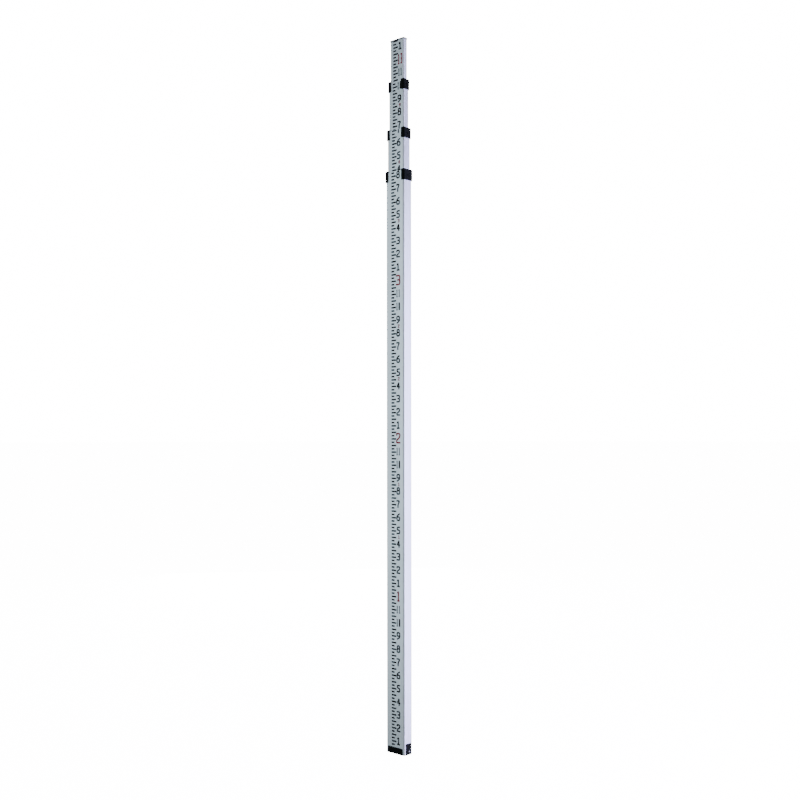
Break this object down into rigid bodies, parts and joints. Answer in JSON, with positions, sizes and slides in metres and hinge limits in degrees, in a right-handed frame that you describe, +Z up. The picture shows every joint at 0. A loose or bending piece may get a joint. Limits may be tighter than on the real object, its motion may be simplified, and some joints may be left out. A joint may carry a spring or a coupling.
{
  "type": "leveling rod",
  "caption": "Rectangular telescoping aluminium grade rod in nested sections with black collars and foot, graduated in feet, inches and eighths on its front face.",
  "frame": {"origin": "middle of the foot's underside, which is the zero of the scale", "axes": "+Z up the rod, -Y out of the graduated front face, X across the scale"},
  "size_m": [0.0524, 0.0268, 1.3827],
  "materials": {
    "anodised_tube": "satin anodised",
    "black_plastic": "fine moulded texture",
    "plug_plastic": "moulded",
    "black_screw": "black oxide",
    "steel_screw": "zinc plated",
    "button_metal": "turned",
    "spring_steel": "drawn wire"
  },
  "bodies": {
    "section_1": {"section_1_tube": "anodised_tube", "collar_1": "black_plastic", "collar_screws_1": "black_screw", "base_plug": "black_plastic", "base_plug_screws": "steel_screw"},
    "section_2": {"section_2_tube": "anodised_tube", "collar_2": "black_plastic", "collar_screws_2": "black_screw", "foot_plug_2": "plug_plastic", "foot_plug_screws_2": "steel_screw", "lock_spring_2": "spring_steel"},
    "section_3": {"section_3_tube": "anodised_tube", "collar_3": "black_plastic", "collar_screws_3": "black_screw", "foot_plug_3": "plug_plastic", "foot_plug_screws_3": "steel_screw", "lock_spring_3": "spring_steel"},
    "section_4": {"section_4_tube": "anodised_tube", "top_cap": "black_plastic", "foot_plug_4": "plug_plastic", "foot_plug_screws_4": "steel_screw", "lock_spring_4": "spring_steel"},
    "button_2": {"lock_button_2": "button_metal"},
    "button_3": {"lock_button_3": "button_metal"},
    "button_4": {"lock_button_4": "button_metal"}
  },
  "joints": [
    {"name": "section_2_slide", "type": "slide", "parent": "section_1", "child": "section_2", "axis": [0, 0, 1], "range_m": [0, 0.80061]},
    {"name": "section_3_slide", "type": "slide", "parent": "section_2", "child": "section_3", "axis": [0, 0, 1], "range_m": [0, 0.90576]},
    {"name": "section_4_slide", "type": "slide", "parent": "section_3", "child": "section_4", "axis": [0, 0, 1], "range_m": [0, 0.91338]},
    {"name": "button_2_press", "type": "slide", "parent": "section_2", "child": "button_2", "axis": [0, 1, 0], "range_m": [0, 0.0023], "stiffness_N_per_m": 400, "springref_m": 0.0045, "deforming": ["lock_spring_2"]},
    {"name": "button_3_press", "type": "slide", "parent": "section_3", "child": "button_3", "axis": [0, 1, 0], "range_m": [0, 0.0023], "stiffness_N_per_m": 400, "springref_m": 0.0045, "deforming": ["lock_spring_3"]},
    {"name": "button_4_press", "type": "slide", "parent": "section_4", "child": "button_4", "axis": [0, 1, 0], "range_m": [0, 0.0023], "stiffness_N_per_m": 400, "springref_m": 0.0045, "deforming": ["lock_spring_4"]}
  ]
}
